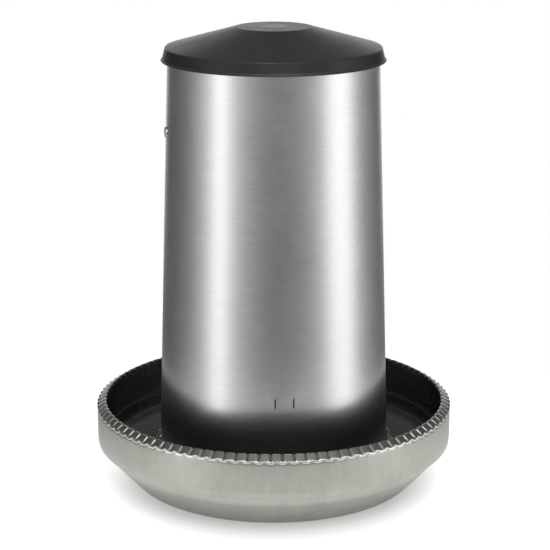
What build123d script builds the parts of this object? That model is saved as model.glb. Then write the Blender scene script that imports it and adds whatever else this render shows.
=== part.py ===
"""Galvanised gravity feeder for poultry: tapered hopper tube, wide pan and lift-off lid.

Millimetres, +Z up.  The origin is the centre of the foot ring, on the surface the feeder stands on.
The front is -Y.  Each piece is written to parts/NAME.step.
"""
from build123d import *
from math import degrees
import os

os.makedirs("parts", exist_ok=True)

# ---- driving dimensions -------------------------------------------------------------------------
SHEET = 0.8                      # galvanised sheet of the tube, pan and cone
SEAT_GAP = 0.02                  # between pieces that are clamped face to face
HOLE_CLEARANCE = 0.05            # radial, around rivets and pins

# bowl of the pan
PANEL_RADIUS = 139.0             # raised flat panel in the middle
PANEL_LIFT = 4.0                 # underside of that panel above the ground
PANEL_TOP = PANEL_LIFT + SHEET
FOOT_INNER_RADIUS = 143.0
FOOT_OUTER_RADIUS = 157.4        # where the conical wall would meet the ground
CONE_SLOPE = 1.086               # rise over run of that wall
BOWL_RADIUS = 189.8              # outside of the upright edge above the wall
BOWL_BEND = 18.0                 # between the wall and the upright edge
FLANGE_Z = 49.7                  # underside of the flange that runs outwards from that edge
HOOK_TOP_RADIUS = 197.85         # the flange turns down here
HOOK_FOOT = (197.47, 45.4)

# ring of the pan, folded round the bowl's hook
FOLD_LEG_TOP = (196.88, 49.0)
FOLD_INNER_FOOT = (196.45, 44.0)
FOLD_OUTER_FOOT = (199.05, 44.0)
FOLD_TOP_Z = 51.5                # the band draws in below this
BAND_RADIUS = 199.7              # outside of the upright band
BAND_TOP = 82.5
RIM_RADIUS = 200.0               # outside of the turned-in rim
RIM_EDGE_Z = 86.4                # the rim slopes up and inwards from this height
RIM_CROWN = (191.6, 92.2)
RIM_INNER = (189.4, 91.4)
RIM_LIP_FOOT = 83.2              # the rim turns down on the inside to this height

# feed cone on the panel
CONE_FLANGE_RADIUS = 64.0
CONE_BASE_RADIUS = 52.0
CONE_CROWN = (9.0, 53.0)         # radius and height of its rounded top
CONE_RIVET_CIRCLE = 58.0
CONE_RIVET_COUNT = 4

# hopper tube
TUBE_FOOT = 28.0
TUBE_TOP = 486.5
TUBE_FOOT_RADIUS = 129.8
TUBE_TOP_RADIUS = 115.0
HEM_RADIUS = 1.9                 # rolled hems, turned inwards
SEAM_WIDTH = 9.0
SEAM_PROUD = 0.8
SEAM_TURN = 98.5                 # azimuth of the lock seam, at the back
SEAM_TOP = 466.0

# wire stirrups between tube and pan
STIRRUP_TURNS = {"front": -84.7, "right": 5.3, "back": 95.3, "left": 185.3}
STIRRUP_WIRE = 1.3               # wire radius
STIRRUP_RADIUS = 134.2           # distance of the upright legs from the axis
STIRRUP_HALF_WIDTH = 10.0
STIRRUP_AXIS_Z = PANEL_TOP + STIRRUP_WIRE + 0.1
STIRRUP_BEND_Z = 39.0
STIRRUP_SHOULDER = (130.5, 50.0)
STIRRUP_TIP = (123.9, 48.3)
SLOT_WIDTH = 3.8
SLOT_HEIGHT = 25.0               # tall, so the tube can be set higher or lower
SLOT_CENTRE_Z = 49.5
SIGHT_SLIT_WIDTH = 1.4
SIGHT_SLIT_HEIGHT = 10.5
SIGHT_SLIT_Z = 124.0

# clips that hold the stirrups down
CLIP_SHEET = 1.2
CLIP_WIDTH = 9.0
CLIP_CLEARANCE = 0.08
CLIP_FLANGE_END = 121.5
CLIP_RIVET_RADIUS = 126.6

# bail and its pivots
BAIL_TURN = 12.0                 # azimuth of the pivot axis
BAIL_AXIS_Z = 399.0
BAIL_WIRE = 2.0
BAIL_EYE_X = 112.7
BAIL_ARCH = [(BAIL_EYE_X, -44.0), (52.0, -96.0), (11.0, -96.0)]
BAIL_DROP = 103.0                # depth of the hanging notch below the pivots
PIVOT_SHANK = 3.0
PIVOT_HEAD_RADIUS = 6.0
PIVOT_HEAD_THICK = 2.2
PIVOT_OUTER_X = 118.1            # underside of the outer head
PIVOT_INNER_X = 107.1            # free end of the pin
PIVOT_INNER_HEAD = (4.9, 1.85)   # radius, thickness
WASHER_OUTER = 6.6
WASHER_THICK = 1.4
WASHER_STARTS = (109.0, 115.0)

# lid
LID_WALL = 1.6
LID_DISC_RADIUS = 41.0
LID_TOP = 510.0
LID_SHOULDER = (117.7, 488.4)
LID_SKIRT_FOOT = (120.6, 476.8)
LID_LIP = (122.4, 474.6)
LID_FOOT = 474.1
LID_RIB_RADII = (111.6, 113.6)
LID_RIB_FOOT = TUBE_TOP + 0.3
BADGE_RADIUS = 14.5
BADGE_THICK = 0.9
BADGE_RECESS = 0.6

# rivets
RIVET_SHANK = 2.0
RIVET_HEAD = (3.9, 1.4)          # radius, height


# ---- helpers ------------------------------------------------------------------------------------
def save(name, shape):
    export_step(shape, f"parts/{name}.step")


def lathe(face):
    """Turn a face drawn in (radius, height) about the Z axis."""
    return revolve(Plane.XZ * face, axis=Axis.Z)


def sheet_section(points, radii, thickness, side=Side.LEFT):
    """Section of a bent sheet: the points are one surface, the other lies on the side named."""
    path = FilletPolyline(*points, radius=radii)
    return make_face(path.wire().offset_2d(thickness, side=side))


def turned(shape, azimuth):
    return Rot(0, 0, azimuth) * shape


def tube_radius(z):
    """Outside radius of the tapered tube at a height."""
    share = (z - TUBE_FOOT) / (TUBE_TOP - TUBE_FOOT)
    return TUBE_FOOT_RADIUS + share * (TUBE_TOP_RADIUS - TUBE_FOOT_RADIUS)


def rivet(grip_foot, grip_top):
    """A vertical rivet at the origin that clamps the heights given, with a head at each end."""
    head_radius, head_height = RIVET_HEAD
    shank = Cylinder(RIVET_SHANK, grip_top - grip_foot + 0.2)
    shank = Pos(0, 0, (grip_foot + grip_top) / 2) * shank
    head = Cylinder(head_radius, head_height)
    head = fillet(head.edges().sort_by(Axis.Z)[-1], head_height * 0.8)
    upper = Pos(0, 0, grip_top + head_height / 2) * head
    lower = Pos(0, 0, grip_foot - head_height / 2) * Rot(180, 0, 0) * head
    return shank + upper + lower


def rivet_hole(grip_foot, grip_top):
    hole = Cylinder(RIVET_SHANK + HOLE_CLEARANCE, grip_top - grip_foot + 4)
    return Pos(0, 0, (grip_foot + grip_top) / 2) * hole


# ---- pan and what is riveted to it --------------------------------------------------------------
def cone_rivet_places():
    step = 360 / CONE_RIVET_COUNT
    return [turned(Pos(CONE_RIVET_CIRCLE, 0, 0), 45 + k * step) for k in range(CONE_RIVET_COUNT)]


def clip_rivet_places():
    return [turned(Pos(CLIP_RIVET_RADIUS, 0, 0), turn) for turn in STIRRUP_TURNS.values()]


def feed_pan():
    """Pressed bowl: raised panel, foot ring, conical wall, upright edge and a hooked flange."""
    wall_top = (BOWL_RADIUS, (BOWL_RADIUS - FOOT_OUTER_RADIUS) * CONE_SLOPE)
    points = [
        (0, PANEL_LIFT),
        (PANEL_RADIUS, PANEL_LIFT),
        (FOOT_INNER_RADIUS, 0),
        (FOOT_OUTER_RADIUS, 0),
        wall_top,
        (BOWL_RADIUS, FLANGE_Z),
        (HOOK_TOP_RADIUS, FLANGE_Z),
        HOOK_FOOT,
    ]
    bowl = lathe(sheet_section(points, [2.0, 2.0, 12.0, BOWL_BEND, 1.2, 0.6], SHEET))
    for place in cone_rivet_places() + clip_rivet_places():
        bowl -= place * rivet_hole(PANEL_LIFT, PANEL_TOP)
    return bowl


def rim_ring():
    """Ring of the pan: a fold that grips the bowl's hook, an upright band and the turned-in rim."""
    points = [
        FOLD_LEG_TOP,
        FOLD_INNER_FOOT,
        FOLD_OUTER_FOOT,
        (BAND_RADIUS, FOLD_TOP_Z),
        (BAND_RADIUS, BAND_TOP),
        (RIM_RADIUS, BAND_TOP + 1.5),
        (RIM_RADIUS, RIM_EDGE_Z),
        RIM_CROWN,
        RIM_INNER,
        (RIM_INNER[0], RIM_LIP_FOOT),
    ]
    return lathe(sheet_section(points, [1.1, 1.1, 6.0, 1.5, 1.5, 1.5, 2.3, 1.3], SHEET))


def feed_cone():
    """Sheet cone that spreads the feed outwards, with a riveted flange."""
    foot = PANEL_TOP + SEAT_GAP
    crown_radius, crown_height = CONE_CROWN
    points = [
        (CONE_FLANGE_RADIUS, foot),
        (CONE_BASE_RADIUS, foot),
        (crown_radius, foot + crown_height),
        (0, foot + crown_height),
    ]
    cone = lathe(sheet_section(points, [4.0, 12.0], SHEET, Side.RIGHT))
    for place in cone_rivet_places():
        cone -= place * rivet_hole(PANEL_TOP, PANEL_TOP + SHEET)
    return cone


def cone_rivets():
    grip_top = PANEL_TOP + SEAT_GAP + SHEET
    return [place * rivet(PANEL_LIFT, grip_top) for place in cone_rivet_places()]


def stirrup_clip(turn):
    """Strap bent over the stirrup's lower run, with one flange riveted to the panel."""
    bore = STIRRUP_WIRE + CLIP_CLEARANCE
    outside = bore + CLIP_SHEET
    foot = PANEL_TOP + SEAT_GAP
    centre = Pos(STIRRUP_RADIUS, STIRRUP_AXIS_Z)
    leg_height = STIRRUP_AXIS_Z - foot
    section = centre * Circle(outside)
    section += Pos(STIRRUP_RADIUS, foot + leg_height / 2) * Rectangle(2 * outside, leg_height)
    flange_length = STIRRUP_RADIUS - CLIP_FLANGE_END
    flange_middle = STIRRUP_RADIUS - flange_length / 2
    section += Pos(flange_middle, foot + CLIP_SHEET / 2) * Rectangle(flange_length, CLIP_SHEET)
    section -= Pos(STIRRUP_RADIUS, foot - 5) * Rectangle(4 * outside, 10)
    section -= centre * Circle(bore)
    section -= Pos(STIRRUP_RADIUS, foot + leg_height / 2 - 0.5) * Rectangle(2 * bore, leg_height + 1)
    clip = extrude(Plane.XZ * section, CLIP_WIDTH / 2, both=True)
    clip -= Pos(CLIP_RIVET_RADIUS, 0, 0) * rivet_hole(PANEL_TOP, PANEL_TOP + CLIP_SHEET)
    return turned(clip, turn)


def clip_rivets():
    grip_top = PANEL_TOP + SEAT_GAP + CLIP_SHEET
    return [place * rivet(PANEL_LIFT, grip_top) for place in clip_rivet_places()]


# ---- stirrups -----------------------------------------------------------------------------------
def stirrup(turn):
    """U of wire: its lower run turns in the clip, its two tips reach through slots in the tube."""
    half = STIRRUP_HALF_WIDTH
    side = [
        (STIRRUP_TIP[0], STIRRUP_TIP[1]),
        (STIRRUP_SHOULDER[0], STIRRUP_SHOULDER[1]),
        (STIRRUP_RADIUS, STIRRUP_BEND_Z),
        (STIRRUP_RADIUS, STIRRUP_AXIS_Z),
    ]
    points = [(x, -half, z) for x, z in side]
    points += [(x, half, z) for x, z in reversed(side)]
    path = FilletPolyline(*points, radius=[3.0, 12.0, 3.2, 3.2, 12.0, 3.0])
    start = Plane(origin=path @ 0, z_dir=path % 0)
    wire = sweep(start * Circle(STIRRUP_WIRE), path=path.wire())
    return turned(wire, turn)


# ---- hopper tube --------------------------------------------------------------------------------
def tube_slots():
    cutters = []
    for turn in STIRRUP_TURNS.values():
        for side in (-STIRRUP_HALF_WIDTH, STIRRUP_HALF_WIDTH):
            slot = Plane.YZ * Rot(0, 0, 90) * SlotOverall(SLOT_HEIGHT, SLOT_WIDTH)
            cutter = extrude(slot, 12, both=True)
            cutters.append(turned(Pos(tube_radius(SLOT_CENTRE_Z), side, SLOT_CENTRE_Z) * cutter, turn))
    return cutters


def sight_slits():
    """Two narrow upright slits above the front stirrup."""
    cutters = []
    for side in (-STIRRUP_HALF_WIDTH, STIRRUP_HALF_WIDTH):
        cutter = Box(12, SIGHT_SLIT_WIDTH, SIGHT_SLIT_HEIGHT)
        place = Pos(tube_radius(SIGHT_SLIT_Z), side, SIGHT_SLIT_Z)
        cutters.append(turned(place * cutter, STIRRUP_TURNS["front"]))
    return cutters


def lock_seam():
    """Folded seam: a strip that stands proud of the tube along its back."""
    foot = TUBE_FOOT + 2 * HEM_RADIUS
    face = make_face(Polyline(
        (tube_radius(foot) - SHEET / 2, foot),
        (tube_radius(foot) + SEAM_PROUD, foot),
        (tube_radius(SEAM_TOP) + SEAM_PROUD, SEAM_TOP),
        (tube_radius(SEAM_TOP) - SHEET / 2, SEAM_TOP),
        close=True,
    ))
    sweep_angle = degrees(SEAM_WIDTH / tube_radius((foot + SEAM_TOP) / 2))
    strip = revolve(Plane.XZ * face, axis=Axis.Z, revolution_arc=sweep_angle)
    return turned(strip, SEAM_TURN - sweep_angle / 2)


def pivot_side(side):
    """The pivot axis of one side: local X runs outwards along it."""
    turn = BAIL_TURN if side == "right" else BAIL_TURN + 180
    return Pos(0, 0, BAIL_AXIS_Z) * Rot(0, 0, turn)


def along_x(radius, start, end):
    """A cylinder about local X from one distance to another."""
    return Pos((start + end) / 2, 0, 0) * Rot(0, 90, 0) * Cylinder(radius, end - start)


def hopper_tube():
    """Rolled sheet tube with hems, lock seam, stirrup slots and pivot holes."""
    wall = make_face(Polyline(
        (tube_radius(TUBE_FOOT + HEM_RADIUS), TUBE_FOOT + HEM_RADIUS),
        (tube_radius(TUBE_TOP - HEM_RADIUS), TUBE_TOP - HEM_RADIUS),
        (tube_radius(TUBE_TOP - HEM_RADIUS) - SHEET, TUBE_TOP - HEM_RADIUS),
        (tube_radius(TUBE_FOOT + HEM_RADIUS) - SHEET, TUBE_FOOT + HEM_RADIUS),
        close=True,
    ))
    for z in (TUBE_FOOT + HEM_RADIUS, TUBE_TOP - HEM_RADIUS):
        wall += Pos(tube_radius(z) - HEM_RADIUS, z) * Circle(HEM_RADIUS)
    tube = lathe(wall) + lock_seam()
    for cutter in tube_slots() + sight_slits():
        tube -= cutter
    for side in ("left", "right"):
        hole = along_x(PIVOT_SHANK + HOLE_CLEARANCE, PIVOT_OUTER_X - 8, PIVOT_OUTER_X + 5)
        tube -= pivot_side(side) * hole
    return tube


# ---- bail ---------------------------------------------------------------------------------------
def bail_pivot(side):
    """Shouldered rivet: broad outer head, shank through the tube wall, peened inner head."""
    inner_radius, inner_thick = PIVOT_INNER_HEAD
    head = Cylinder(PIVOT_HEAD_RADIUS, PIVOT_HEAD_THICK)
    head = fillet(head.edges().sort_by(Axis.Z)[-1], PIVOT_HEAD_THICK * 0.7)
    head = Pos(PIVOT_OUTER_X + PIVOT_HEAD_THICK / 2, 0, 0) * Rot(0, 90, 0) * head
    shank = along_x(PIVOT_SHANK, PIVOT_INNER_X, PIVOT_OUTER_X + 0.2)
    peened = Cylinder(inner_radius, inner_thick)
    peened = fillet(peened.edges().sort_by(Axis.Z)[-1], inner_thick * 0.6)
    peened = Pos(PIVOT_INNER_X + inner_thick / 2, 0, 0) * Rot(0, -90, 0) * peened
    return pivot_side(side) * (head + shank + peened)


def pivot_washers():
    washers = []
    for side in ("left", "right"):
        for start in WASHER_STARTS:
            washer = along_x(WASHER_OUTER, start, start + WASHER_THICK)
            washer -= along_x(PIVOT_SHANK + HOLE_CLEARANCE, start - 1, start + WASHER_THICK + 1)
            washers.append(pivot_side(side) * washer)
    return washers


def bail():
    """Wire handle, hanging inside the tube: two eyes on the pivots, an arch and a hanging notch."""
    eye_major = PIVOT_SHANK + HOLE_CLEARANCE + BAIL_WIRE
    half = [(BAIL_EYE_X, 0)] + BAIL_ARCH
    points = half + [(0, -BAIL_DROP)] + [(-x, z) for x, z in reversed(half)]
    radii = [80.0, 90.0, 8.0, 6.0, 8.0, 90.0, 80.0]
    path = FilletPolyline(*[(x, eye_major, z) for x, z in points], radius=radii)
    start = Plane(origin=path @ 0, z_dir=path % 0)
    wire = sweep(start * Circle(BAIL_WIRE), path=path.wire())
    for x in (-BAIL_EYE_X, BAIL_EYE_X):
        wire += Pos(x, 0, 0) * Rot(0, 90, 0) * Torus(eye_major, BAIL_WIRE)
    return Pos(0, 0, BAIL_AXIS_Z) * Rot(0, 0, BAIL_TURN) * wire


# ---- lid ----------------------------------------------------------------------------------------
def lid_shell():
    """Moulded lid: flat disc with a recess, shallow cone, skirt with flared lip, and a seat rib."""
    points = [
        (0, LID_TOP),
        (LID_DISC_RADIUS, LID_TOP),
        LID_SHOULDER,
        LID_SKIRT_FOOT,
        LID_LIP,
    ]
    shell = lathe(sheet_section(points, [1.8, 2.4, 1.7], LID_WALL, Side.RIGHT))
    rib_inner, rib_outer = LID_RIB_RADII
    rib_height = LID_SHOULDER[1] + LID_WALL / 4 - LID_RIB_FOOT
    rib = Cylinder(rib_outer, rib_height) - Cylinder(rib_inner, rib_height)
    shell += Pos(0, 0, LID_RIB_FOOT + rib_height / 2) * rib
    shell -= Pos(0, 0, LID_FOOT - 5) * Cylinder(2 * LID_LIP[0], 10)
    recess = Cylinder(BADGE_RADIUS + HOLE_CLEARANCE, 2 * BADGE_RECESS)
    return shell - Pos(0, 0, LID_TOP) * recess


def lid_badge():
    """Blank round disc in the middle of the lid."""
    badge = Cylinder(BADGE_RADIUS, BADGE_THICK)
    badge = fillet(badge.edges().sort_by(Axis.Z)[-1], 0.3)
    return Pos(0, 0, LID_TOP - BADGE_RECESS + SEAT_GAP + BADGE_THICK / 2) * badge


# ---- write the pieces ---------------------------------------------------------------------------
save("feed_pan", feed_pan())
save("rim_ring", rim_ring())
save("feed_cone", feed_cone())
save("cone_rivets", Compound(children=cone_rivets()))
save("clip_rivets", Compound(children=clip_rivets()))
for name, turn in STIRRUP_TURNS.items():
    save(f"stirrup_{name}", stirrup(turn))
    save(f"stirrup_clip_{name}", stirrup_clip(turn))
save("hopper_tube", hopper_tube())
save("bail_pivot_left", bail_pivot("left"))
save("bail_pivot_right", bail_pivot("right"))
save("pivot_washers", Compound(children=pivot_washers()))
save("bail", bail())
save("lid_shell", lid_shell())
save("lid_badge", lid_badge())
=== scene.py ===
"""Galvanised gravity feeder for poultry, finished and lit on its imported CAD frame.

Everything is in metres in the row frame: +Z up, the front is -Y, the floor is z = 0.
Section points of turned shapes are written in millimetres as (radius, height).
"""
import math

import bpy
import numpy as np
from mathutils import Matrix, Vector


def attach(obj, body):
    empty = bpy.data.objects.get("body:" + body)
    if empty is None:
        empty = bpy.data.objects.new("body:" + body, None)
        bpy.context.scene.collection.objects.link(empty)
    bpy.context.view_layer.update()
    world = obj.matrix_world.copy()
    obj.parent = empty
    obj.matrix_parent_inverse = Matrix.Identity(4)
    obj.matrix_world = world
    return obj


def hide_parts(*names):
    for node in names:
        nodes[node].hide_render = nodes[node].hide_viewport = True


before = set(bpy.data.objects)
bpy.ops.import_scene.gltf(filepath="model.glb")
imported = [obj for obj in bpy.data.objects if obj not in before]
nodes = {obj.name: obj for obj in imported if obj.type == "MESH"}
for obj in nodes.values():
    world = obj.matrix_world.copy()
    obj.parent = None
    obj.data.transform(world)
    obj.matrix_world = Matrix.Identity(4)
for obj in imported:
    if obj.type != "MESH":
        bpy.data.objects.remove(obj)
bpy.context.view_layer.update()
MM = 0.001

# ---- pan: bowl and crimped ring --------------------------------------------------------------------
SHEET = 0.8
BOWL_SECTION = [         # outside of the sheet: point, fillet radius, steps in the fillet
    ((0.0, 4.0), 0, 0),
    ((139.0, 4.0), 2.0, 4),
    ((143.0, 0.0), 2.0, 4),
    ((157.4, 0.0), 12.0, 8),
    ((189.8, 35.19), 18.0, 12),
    ((189.8, 49.7), 1.2, 5),
    ((197.85, 49.7), 0.6, 4),
    ((197.47, 45.4), 0, 0),
]
RING_SECTION = [
    ((196.88, 49.0), 0, 0),
    ((196.45, 44.0), 1.1, 4),
    ((199.05, 44.0), 1.1, 5),
    ((199.7, 51.5), 6.0, 3),
    ((199.7, 78.0), 0, 0),
    ((199.7, 82.4), 0.5, 2),
    ((199.25, 84.6), 0.3, 2),
    ((199.95, 85.2), 0.5, 3),
    ((199.95, 87.0), 1.3, 5),
    ((198.5, 87.6), 0.3, 2),
    ((191.6, 92.2), 2.3, 6),
    ((189.4, 91.4), 1.3, 4),
    ((189.4, 83.2), 0, 0),
]
BOWL_COLUMNS = 256
OUTSIDE, INSIDE, EDGE = 0, 1, 2       # material slots: the outside, the inside in a darker copy of the zinc as painted shade, and the bead in a brighter copy as painted highlight
RIM_RADIUS = 200.0
LONGEST_RUN = 1.6        # runs of the rim's section longer than this are divided
RIM_FROM = 82.0          # the rim starts at this height
CRIMP_COUNT = 100
CRIMP_FRONT = math.radians(-89.1)     # azimuth of a pad's middle
CRIMP_STEPS = (          # columns from a pad's middle towards the groove, as shares of the pitch
    0, 0.05, 0.10, 0.15, 0.21, 0.28, 0.34, 0.38, 0.41, 0.435, 0.465,
)
CRIMP_DEPTH = 1.2
CRIMP_FOOT = (86.6, 88.2)             # the grooves deepen between these heights on the outside
CRIMP_INNER = (88.5, 91.4)            # and between these on the inside
GROOVE_WIDTH = 1.1       # half width of a groove
PAD_CROWN = 0.12         # fall of a pad's sides, as a share of the depth
BEAD = (199.95, 85.9)    # thin bead below the pads
BEAD_HIGHLIGHT_SPAN = (84.9, 87.3)              # the bead is painted bright between these heights, as a painted highlight
BEAD_WAVE = 1.6          # it rises in front of each pad and dips at each groove
CREST_WIDTH = 0.17       # half width of its crests, as a share of the pitch
BEAD_REACH = (2.8, 1.5)  # the wave fades over these lengths below and above the bead


def rounded(section):
    """Points along a section whose corners are replaced by arcs."""
    out = []
    for i, (corner, radius, steps) in enumerate(section):
        corner = np.array(corner)
        if not steps:
            out.append(corner)
            continue
        back = np.array(section[i - 1][0]) - corner
        ahead = np.array(section[i + 1][0]) - corner
        back /= np.linalg.norm(back)
        ahead /= np.linalg.norm(ahead)
        half = math.acos(float(np.clip(back @ ahead, -1, 1))) / 2
        middle = (back + ahead) / np.linalg.norm(back + ahead)
        centre = corner + middle * radius / math.sin(half)
        start = corner + back * radius / math.tan(half) - centre
        end = corner + ahead * radius / math.tan(half) - centre
        first = math.atan2(start[1], start[0])
        sweep = (math.atan2(end[1], end[0]) - first + math.pi) % (2 * math.pi) - math.pi
        for k in range(steps + 1):
            a = first + sweep * k / steps
            out.append(centre + radius * np.array((math.cos(a), math.sin(a))))
    return np.array(out)


def divided(points, above):
    """The same points, with more between them along long runs that lie above a height."""
    out = [points[0]]
    for a, b in zip(points, points[1:]):
        run = np.linalg.norm(b - a)
        count = max(1, math.ceil(run / LONGEST_RUN)) if min(a[1], b[1]) > above else 1
        out += [a + (b - a) * k / count for k in range(1, count + 1)]
    return np.array(out)


def left_normals(points):
    """Unit normals to the left of the way along a section, halfway between the runs at each point."""
    along = np.diff(points, axis=0)
    along /= np.linalg.norm(along, axis=1)[:, None]
    along = np.concatenate((along[:1], along[:-1] + along[1:], along[-1:]))
    along /= np.linalg.norm(along, axis=1)[:, None]
    return np.stack((-along[:, 1], along[:, 0]), axis=1)


def smooth_step(value, low, high):
    """0 below low, 1 above high, and a smooth change between them."""
    t = np.clip((value - low) / (high - low), 0, 1)
    return t * t * (3 - 2 * t)


def crimp_map(points):
    """Depth of the grooves and height of the bead's wave, along the section."""
    crown = int(np.argmax(points[:, 1]))
    index = np.arange(len(points))
    outside = smooth_step(points[:, 1], *CRIMP_FOOT)
    inside = smooth_step(points[:, 1], *CRIMP_INNER)
    depth = CRIMP_DEPTH * np.where(index <= crown, outside, inside)
    away = np.linalg.norm(points - np.array(BEAD), axis=1)
    reach = np.where(points[:, 1] < BEAD[1], *BEAD_REACH)
    wave = BEAD_WAVE * np.exp(-(away / reach) ** 2)
    wave[index > crown] = 0
    return depth, wave


def ring_mesh():
    """The ring as one sheet turned about the axis, with crimps pressed across its rim."""
    outer = divided(rounded(RING_SECTION), RIM_FROM)
    normal = left_normals(outer)
    depth, wave = crimp_map(outer)
    azimuths = []
    gaps = []
    pitch = 2 * math.pi / CRIMP_COUNT
    steps = (*CRIMP_STEPS, 0.5, *(1 - step for step in reversed(CRIMP_STEPS[1:])))
    for k in range(CRIMP_COUNT):
        for step in steps:
            azimuths.append(CRIMP_FRONT + (k + step) * pitch)
            gaps.append(abs(step - 0.5))
    gaps = np.array(gaps)[:, None]
    arc = gaps * pitch * RIM_RADIUS
    groove = np.exp(-(arc / GROOVE_WIDTH) ** 2)
    press = depth[None, :] * (groove + PAD_CROWN * (1 - 2 * gaps) ** 2)
    crest = np.exp(-((0.5 - gaps) / CREST_WIDTH) ** 2)
    lift = wave[None, :] * (2 * crest - 1)
    radius = outer[None, :, 0] + press * normal[None, :, 0]
    height = outer[None, :, 1] + press * normal[None, :, 1] + lift
    inner_radius = radius + SHEET * normal[None, :, 0]
    inner_height = height + SHEET * normal[None, :, 1]
    radius = np.concatenate((radius, inner_radius[:, ::-1]), axis=1)
    height = np.concatenate((height, inner_height[:, ::-1]), axis=1)
    crown = int(np.argmax(outer[:, 1]))
    skins = [OUTSIDE] * crown + [INSIDE] * (2 * len(outer) - crown)
    # faces of the bead take the brighter zinc, a painted highlight
    for r in range(crown):
        if BEAD_HIGHLIGHT_SPAN[0] < outer[r, 1] < BEAD_HIGHLIGHT_SPAN[1]:
            skins[r] = EDGE
    return turned_mesh("rim_ring_sheet", radius, height, np.array(azimuths), skins)


def bowl_mesh():
    """The bowl as one sheet turned about the axis."""
    outer = rounded(BOWL_SECTION)
    inner = outer + SHEET * left_normals(outer)
    inner[0, 0] = 0.0
    loop = np.concatenate((outer, inner[::-1]))
    azimuths = np.arange(BOWL_COLUMNS) * 2 * math.pi / BOWL_COLUMNS
    radius = np.tile(loop[:, 0], (BOWL_COLUMNS, 1))
    height = np.tile(loop[:, 1], (BOWL_COLUMNS, 1))
    skins = [OUTSIDE] * (len(outer) - 1) + [INSIDE] * (len(inner) + 1)
    return turned_mesh("bowl_sheet", radius, height, azimuths, skins)


def turned_mesh(name, radius, height, azimuths, skins):
    """Quads from one closed section at each azimuth, in millimetres; a first radius of 0 is a pole.

    skins holds the material of each run of the section.
    """
    has_poles = radius[0, 0] == 0
    ends = (float(height[0, 0]) * MM, float(height[0, -1]) * MM)
    if has_poles:
        radius, height = radius[:, 1:-1], height[:, 1:-1]
    columns, rows = radius.shape
    xyz = np.stack((
        radius * np.cos(azimuths)[:, None],
        radius * np.sin(azimuths)[:, None],
        height,
    ), axis=-1) * MM
    verts = xyz.reshape(-1, 3).tolist()
    foot, head = len(verts), len(verts) + 1
    faces, materials = [], []
    for c in range(columns):
        a, b = c * rows, ((c + 1) % columns) * rows
        for r in range(rows - 1 if has_poles else rows):
            above = (r + 1) % rows
            faces.append((a + r, b + r, b + above, a + above))
            materials.append(skins[r])
        if has_poles:
            faces += [(foot, b, a), (head, a + rows - 1, b + rows - 1)]
            materials += [OUTSIDE, INSIDE]
    if has_poles:
        verts += [(0, 0, z) for z in ends]
    mesh = bpy.data.meshes.new(name)
    mesh.from_pydata(verts, [], faces)
    mesh.polygons.foreach_set("material_index", materials)
    mesh.polygons.foreach_set("use_smooth", [True] * len(faces))
    mesh.update()
    piece = bpy.data.objects.new(name, mesh)
    bpy.context.scene.collection.objects.link(piece)
    return piece


bowl = bowl_mesh()
ring = ring_mesh()
for piece, node in ((bowl, "feed_pan"), (ring, "rim_ring")):
    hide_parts(node)
    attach(piece, "pan")


# ---- materials ------------------------------------------------------------------------------------
class Graph:
    """A node tree under construction: short names for the nodes used here."""

    def __init__(self, tree, coordinates):
        self.tree = tree
        self.place = tree.nodes.new("ShaderNodeTexCoord").outputs[coordinates]

    def node(self, kind, **settings):
        made = self.tree.nodes.new("ShaderNode" + kind)
        for key, value in settings.items():
            setattr(made, key, value)
        return made

    def put(self, socket, value):
        if isinstance(value, bpy.types.NodeSocket):
            self.tree.links.new(value, socket)
        else:
            socket.default_value = value

    def math(self, operation, a, b=0.0, c=0.0):
        made = self.node("Math", operation=operation)
        for socket, value in zip(made.inputs, (a, b, c)):
            self.put(socket, value)
        return made.outputs[0]

    def between(self, value, start, end, low=0.0, high=1.0, kind="SMOOTHSTEP"):
        """low before start, high after end, and a smooth change between them."""
        made = self.node("MapRange", interpolation_type=kind)
        for socket, number in zip(made.inputs, (value, start, end, low, high)):
            self.put(socket, number)
        return made.outputs[0]

    def split(self, vector):
        made = self.node("SeparateXYZ")
        self.put(made.inputs[0], vector)
        return made.outputs


class Shade(Graph):
    """A material of one Principled shader."""

    def __init__(self, name):
        self.mat = bpy.data.materials.new(name)
        self.mat.use_nodes = True
        super().__init__(self.mat.node_tree, "Object")
        self.shader = self.tree.nodes["Principled BSDF"]

    def set(self, **values):
        """Sockets of the shader, with _ for a space."""
        for key, value in values.items():
            self.put(self.shader.inputs[key.replace("_", " ")], value)

    def noise(self, stretch, detail=2.0, roughness=0.5, shift=(0, 0, 0)):
        """Noise whose cells are 1/stretch metres long each way."""
        mapping = self.node("Mapping")
        self.put(mapping.inputs["Vector"], self.place)
        mapping.inputs["Scale"].default_value = stretch
        mapping.inputs["Location"].default_value = shift
        made = self.node("TexNoise")
        self.put(made.inputs["Vector"], mapping.outputs[0])
        made.inputs["Scale"].default_value = 1.0
        made.inputs["Detail"].default_value = detail
        made.inputs["Roughness"].default_value = roughness
        return made.outputs["Fac"]

    def spread(self, value, low, high):
        """Noise, whose middle part is stretched over low..high."""
        return self.between(value, 0.3, 0.7, low, high, "LINEAR")

    def tint(self, value, colour):
        """A colour, multiplied by a number."""
        made = self.node("MixRGB", blend_type="MULTIPLY")
        made.inputs[0].default_value = 1.0
        made.inputs[1].default_value = (*colour, 1)
        self.put(made.inputs[2], value)
        return made.outputs[0]

    def bump(self, height, distance, under=None):
        made = self.node("Bump")
        made.inputs["Distance"].default_value = distance
        self.put(made.inputs["Height"], height)
        if under is not None:
            self.put(made.inputs["Normal"], under)
        return made.outputs[0]


PAINTED_FLOOR_LIGHT_HEIGHTS = (0.025, 0.031)       # painted light: the pan's floor is painted brighter than its shaded walls below these heights
FLAKES = 160.0           # zinc crystals per metre
FLAKE_SHARE = 0.5        # how much they and the clouds' gloss vary, as shares of the mottle
GLOSS_SHARE = 0.4
CLOUD_BUMP = 0.0003      # relief of the clouds at a mottle of 1


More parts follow.
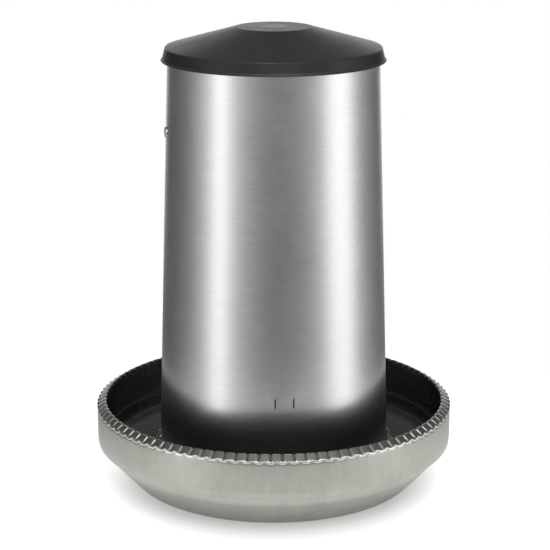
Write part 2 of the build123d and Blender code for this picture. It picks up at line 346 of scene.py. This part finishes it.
def sheet_metal(name, colour, roughness, grain, depth, mottle, wave=0.0, along=0.0, painted_floor_light=1.0):
    """Galvanised sheet: rolling grain, cloudy zinc with small crystals, a slight unevenness.

    depth is the grain's, mottle the contrast of the clouds, wave the height of the unevenness, along
    the stretch of the highlights round the axis, and the last argument how much the floor below its
    heights is painted brighter, as painted light.
    """
    s = Shade(name)
    fine = s.noise(grain)
    coarse = s.noise([v * 0.31 for v in grain], shift=(3, 1, 7))
    clouds = s.noise((38, 38, 26), detail=3.0)
    flakes = s.node("TexVoronoi", feature="F1")
    flakes.inputs["Scale"].default_value = FLAKES
    s.put(flakes.inputs["Vector"], s.place)
    flake = s.node("SeparateColor")
    s.put(flake.inputs[0], flakes.outputs["Color"])
    tone = s.math("ADD", s.spread(fine, -0.05, 0.05), s.spread(clouds, 1 - mottle, 1 + mottle))
    tone = s.math("ADD", tone, s.spread(coarse, -0.03, 0.03))
    tone = s.math("MULTIPLY_ADD", flake.outputs[0], FLAKE_SHARE * mottle, tone)
    # painted light: the floor below these heights is painted brighter than the shaded walls
    if painted_floor_light != 1.0:
        low = s.between(s.split(s.place)[2], *PAINTED_FLOOR_LIGHT_HEIGHTS, painted_floor_light, 1.0)
        tone = s.math("MULTIPLY", tone, low)
    s.set(Base_Color=s.tint(tone, colour), Metallic=1.0)
    uneven = GLOSS_SHARE * mottle
    cloudy = s.spread(clouds, roughness - uneven, roughness + uneven)
    s.set(Roughness=s.math("ADD", s.spread(fine, -0.02, 0.02), cloudy))
    if along:
        tangent = s.node("Tangent", direction_type="RADIAL", axis="Z")
        s.set(Tangent=tangent.outputs[0], Anisotropic=along, Anisotropic_Rotation=0.0)
    normal = None
    if wave:
        normal = s.bump(s.noise((9, 9, 5), detail=1.5, shift=(5, 2, 0)), wave)
    normal = s.bump(clouds, CLOUD_BUMP * mottle, under=normal)
    s.set(Normal=s.bump(fine, depth, under=normal))
    return s


FACING_UP = (0.1, 0.6)   # the lid's painted light and shade and its specular level change between these upward parts of its normal
LID_LIGHT_AND_SHADE = (0.45, 1.25)  # painted shade on the lid's steep sides and painted light on its top, as tone factors
LID_SHINE = (0.32, 0.5)  # and their specular levels


def lid_plastic():
    """Moulded black plastic with a fine texture, its top painted lighter and its steep sides darker,
    as painted light and shade.
    """
    s = Shade("lid_black")
    grain = s.noise((1400, 1400, 1400), roughness=0.6)
    clouds = s.noise((30, 30, 30), detail=4.0)
    facing = s.split(s.node("TexCoord").outputs["Normal"])[2]
    # painted light on the top and painted shade on the steep sides
    painted_tone = s.between(facing, *FACING_UP, *LID_LIGHT_AND_SHADE)
    tone = s.math("ADD", s.spread(clouds, 0.9, 1.1), s.spread(grain, -0.15, 0.15))
    s.set(Base_Color=s.tint(s.math("MULTIPLY", tone, painted_tone), (0.026, 0.026, 0.025)))
    s.set(Roughness=s.math("ADD", s.spread(grain, -0.05, 0.05), s.spread(clouds, 0.39, 0.46)))
    s.set(Specular_IOR_Level=s.between(facing, *FACING_UP, *LID_SHINE))
    s.set(Normal=s.bump(grain, 0.00005))
    return s


def badge_plastic():
    """Smooth pinkish grey plastic, slightly cloudy."""
    s = Shade("badge_plastic")
    grain = s.noise((900, 900, 900))
    clouds = s.noise((90, 90, 90), detail=3.0)
    s.set(Base_Color=s.tint(s.spread(clouds, 0.85, 1.12), (0.33, 0.29, 0.285)))
    s.set(Roughness=s.spread(grain, 0.45, 0.6))
    s.set(Normal=s.bump(grain, 0.00004))
    return s


def wire_metal(name, colour, roughness):
    """Zinc plated wire and rivets: soft drawing lines and cloudy plating."""
    s = Shade(name)
    grain = s.noise((700, 700, 900), detail=3.0)
    clouds = s.noise((140, 140, 140), detail=3.0)
    tone = s.math("ADD", s.spread(grain, -0.06, 0.06), s.spread(clouds, 0.9, 1.08))
    s.set(Base_Color=s.tint(tone, colour))
    s.set(Metallic=1.0)
    s.set(Roughness=s.spread(clouds, roughness - 0.06, roughness + 0.06))
    s.set(Normal=s.bump(grain, 0.00003))
    return s


TUBE_GRAIN = (90, 90, 1500)           # cells per metre: fine lines round the tube
PAN_GRAIN = (1100, 1100, 30)          # and fine lines up the pan's walls
TUBE = sheet_metal("tube_zinc", (0.60, 0.61, 0.595), 0.30, TUBE_GRAIN,
                   depth=0.000002, mottle=0.02, wave=0.0006, along=0.6).mat
PAN_OUTSIDE = sheet_metal("pan_zinc", (0.37, 0.377, 0.34), 0.38, PAN_GRAIN,
                          depth=0.00001, mottle=0.08).mat
# painted shade: the inside is a darker copy of the same zinc, dark where the trough lies in shade
PAN_INSIDE_SHADED = sheet_metal("pan_zinc_inside_shaded", (0.16, 0.176, 0.172), 0.28, PAN_GRAIN,
                         depth=0.00001, mottle=0.08, painted_floor_light=2.2).mat
# painted highlight: a brighter copy of the zinc on the bead, where its edge catches the front light
PAN_BEAD_HIGHLIGHT = sheet_metal("pan_zinc_bead_highlight", (0.62, 0.63, 0.60), 0.34, PAN_GRAIN,
                       depth=0.00001, mottle=0.04).mat
WIRE = wire_metal("wire_zinc", (0.62, 0.63, 0.64), 0.33).mat
RIVETS = wire_metal("rivet_zinc", (0.60, 0.60, 0.59), 0.36).mat
LID = lid_plastic().mat
BADGE = badge_plastic().mat


def finish_node(name, material):
    """Give the CAD piece of a node one material."""
    mesh = nodes[name].data
    mesh.materials.clear()
    mesh.materials.append(material)


for piece in (bowl, ring):
    for material in (PAN_OUTSIDE, PAN_INSIDE_SHADED, PAN_BEAD_HIGHLIGHT):
        piece.data.materials.append(material)
for name in nodes:
    # the clips and the feed cone take the inside zinc, darkened as painted shade
    if name.startswith("stirrup_clip") or name == "feed_cone":
        finish_node(name, PAN_INSIDE_SHADED)
    elif name.startswith("stirrup") or name == "bail":
        finish_node(name, WIRE)
    elif "pivot" in name or "rivets" in name:
        finish_node(name, RIVETS)
finish_node("hopper_tube", TUBE)
finish_node("lid_shell", LID)
finish_node("lid_badge", BADGE)
finish_node("feed_pan", PAN_OUTSIDE)
finish_node("rim_ring", PAN_OUTSIDE)


# ---- floor, light and camera ----------------------------------------------------------------------
FLOOR_RADIUS = 0.52
FLOOR_FADE = 0.43        # outside this the floor fades into the white around it
FLOOR_SIDES = 96
SHOWN_RADII = (0.135, 0.205)          # the floor's glow that the camera sees grows between these radii, a painted contact shadow round the feeder
SHOWN_GLOW = (0.36, 0.90)
SHADE_AHEAD = 0.025      # and this painted shadow sits this far to the front
CAST_RADII = (0.155, 0.215)           # the glow that lights the object grows between these, a painted shadow under it
CAST_GLOW = (0.30, 0.95)
BACK_FROM = (-0.05, 0.2)              # between these distances to the back it falls to a share, as painted shade
BACK_SHARE = 0.5
LEFT_WAY = (-0.9, 0.4)   # and it does so along this way too, left and slightly back
LEFT_FROM = (0.2, 0.4)
LEFT_SHARE = 0.65


def floor():
    """Round pale table top whose edge fades away; it glows, with a painted shadow near the feeder."""
    turns = [2 * math.pi * k / FLOOR_SIDES for k in range(FLOOR_SIDES)]
    edge = [(FLOOR_RADIUS * math.cos(t), FLOOR_RADIUS * math.sin(t), 0) for t in turns]
    mesh = bpy.data.meshes.new("floor")
    mesh.from_pydata(edge, [], [tuple(range(FLOOR_SIDES))])
    piece = bpy.data.objects.new("floor", mesh)
    bpy.context.scene.collection.objects.link(piece)
    s = Shade("floor_white")
    s.set(Base_Color=(0.50, 0.50, 0.50, 1), Roughness=0.9, Specular_IOR_Level=0.2)
    x, y, _ = s.split(s.place)
    radius = s.math("SQRT", s.math("MULTIPLY_ADD", x, x, s.math("MULTIPLY", y, y)))
    ahead = s.math("ADD", y, SHADE_AHEAD)
    away = s.math("SQRT", s.math("MULTIPLY_ADD", x, x, s.math("MULTIPLY", ahead, ahead)))
    # painted contact shadow: the glow dims near the feeder, and behind and to the left in what the
    # object sees
    shown = s.between(away, *SHOWN_RADII, *SHOWN_GLOW)
    cast = s.between(radius, *CAST_RADII, *CAST_GLOW)
    cast = s.math("MULTIPLY", cast, s.between(y, *BACK_FROM, 1.0, BACK_SHARE))
    left = s.math("MULTIPLY_ADD", x, LEFT_WAY[0], s.math("MULTIPLY", y, LEFT_WAY[1]))
    cast = s.math("MULTIPLY", cast, s.between(left, *LEFT_FROM, 1.0, LEFT_SHARE))
    seen = s.node("LightPath").outputs["Is Camera Ray"]
    glow = s.math("MULTIPLY_ADD", seen, s.math("SUBTRACT", shown, cast), cast)
    s.set(Emission_Color=(1, 1, 1, 1), Emission_Strength=glow)
    s.set(Alpha=s.between(radius, FLOOR_FADE, FLOOR_RADIUS, 1.0, 0.0))
    mesh.materials.append(s.mat)


BOX_AIM = (0, 0, 0.2)


def softbox(name, azimuth, elevation, distance, width, height, power):
    """Area light round the object: azimuth 0 is in front, 90 is to the right."""
    a, e = math.radians(azimuth), math.radians(elevation)
    away = Vector((math.sin(a) * math.cos(e), -math.cos(a) * math.cos(e), math.sin(e)))
    data = bpy.data.lights.new(name, "AREA")
    data.shape = "RECTANGLE"
    data.size, data.size_y = width, height
    data.energy = power
    lamp = bpy.data.objects.new(name, data)
    bpy.context.scene.collection.objects.link(lamp)
    lamp.location = Vector(BOX_AIM) + distance * away
    lamp.rotation_mode = "QUATERNION"
    lamp.rotation_quaternion = (-away).to_track_quat("-Z", "Y")
    lamp.visible_camera = False


PANELS = (               # azimuth and half width in degrees, strength, sines of the foot's elevations
    (-57.0, 7.5, 1.95, -0.34, -0.29),
    (73.5, 15.5, 1.42, -0.34, -0.29),
    (180, 24.0, 1.2, -0.29, -0.15),
)
HALOS = (                # azimuth and spread in degrees, strength
    (-56.3, 22.0, 0.65),
    (72, 26.0, 0.55),
    (180, 14.0, 0.3),
)
PANEL_EDGE = 2.0         # half of the soft edge, in degrees
PANEL_HEAD = (0.20, 0.45)             # sines of the elevations over which the panels end
FRONT_FROM = (0.3, -0.5)              # the room's glow grows towards the front
FRONT_RISE = (-0.24, 0.02)            # and from below up to the horizon
FRONT_GLOW = (0.02, 0.18)
ROOF_RISE = (0.72, 1.0)               # the ceiling glows more than the walls
ROOF_GLOW = (0.10, 0.30)


def surroundings():
    """A dim studio with tall soft panels; the camera itself sees plain white."""
    world = bpy.data.worlds.new("studio")
    bpy.context.scene.world = world
    world.use_nodes = True
    world.node_tree.nodes.clear()
    g = Graph(world.node_tree, "Generated")
    x, y, z = g.split(g.place)
    flat = g.math("SQRT", g.math("ADD", g.math("MULTIPLY", x, x), g.math("MULTIPLY_ADD", y, y, 1e-4)))

    def toward(azimuth):
        """Cosine of the turn between a direction and an azimuth."""
        a = math.radians(azimuth)
        level = g.math("MULTIPLY_ADD", x, math.sin(a), g.math("MULTIPLY", y, -math.cos(a)))
        return g.math("DIVIDE", level, flat)

    head = g.between(z, *PANEL_HEAD, 1.0, 0.0)
    total = 0.0
    for azimuth, half, strength, *foot in PANELS:
        cosine = toward(azimuth)
        near, far = (math.cos(math.radians(half + k * PANEL_EDGE)) for k in (-1, 1))
        panel = g.between(cosine, far, near, 0.0, strength)
        panel = g.math("MULTIPLY", panel, g.between(z, *foot))
        total = g.math("MULTIPLY_ADD", panel, head, total)
    for azimuth, spread, strength in HALOS:
        sharp = 1 / math.radians(spread) ** 2
        halo = g.math("EXPONENT", g.math("MULTIPLY_ADD", toward(azimuth), sharp, -sharp))
        halo = g.math("MULTIPLY", halo, strength)
        total = g.math("MULTIPLY_ADD", halo, head, total)
    front = g.between(y, *FRONT_FROM)
    glow = g.math("MULTIPLY", front, g.between(z, *FRONT_RISE, *FRONT_GLOW))
    total = g.math("ADD", total, glow)
    total = g.math("ADD", total, g.between(z, *ROOF_RISE, *ROOF_GLOW))
    light = g.node("Background")
    g.put(light.inputs["Strength"], total)
    light.inputs["Color"].default_value = (1, 1, 1, 1)
    seen = g.node("Background")
    seen.inputs["Color"].default_value = (1, 1, 1, 1)
    mix = g.node("MixShader")
    g.put(mix.inputs[0], g.node("LightPath").outputs["Is Camera Ray"])
    g.put(mix.inputs[1], light.outputs[0])
    g.put(mix.inputs[2], seen.outputs[0])
    g.put(g.node("OutputWorld").inputs["Surface"], mix.outputs[0])


CAMERA_PLACE = (0.0015, -1.9489, 0.7633)
CAMERA_DOWN = 15.24      # degrees below level
LENS = 118.3             # millimetres, on a sensor 36 mm wide


def camera():
    """Long lens in front of the feeder, looking slightly down."""
    data = bpy.data.cameras.new("camera")
    data.sensor_width = 36.0
    data.lens = LENS
    piece = bpy.data.objects.new("camera", data)
    bpy.context.scene.collection.objects.link(piece)
    piece.location = CAMERA_PLACE
    piece.rotation_euler = (math.radians(90 - CAMERA_DOWN), 0, 0)
    bpy.context.scene.camera = piece


floor()
surroundings()
camera()
softbox("front_box", azimuth=8, elevation=46, distance=2.0, width=1.3, height=0.9, power=15)
bpy.context.scene.view_settings.view_transform = "Standard"
bpy.context.scene.view_settings.look = "None"
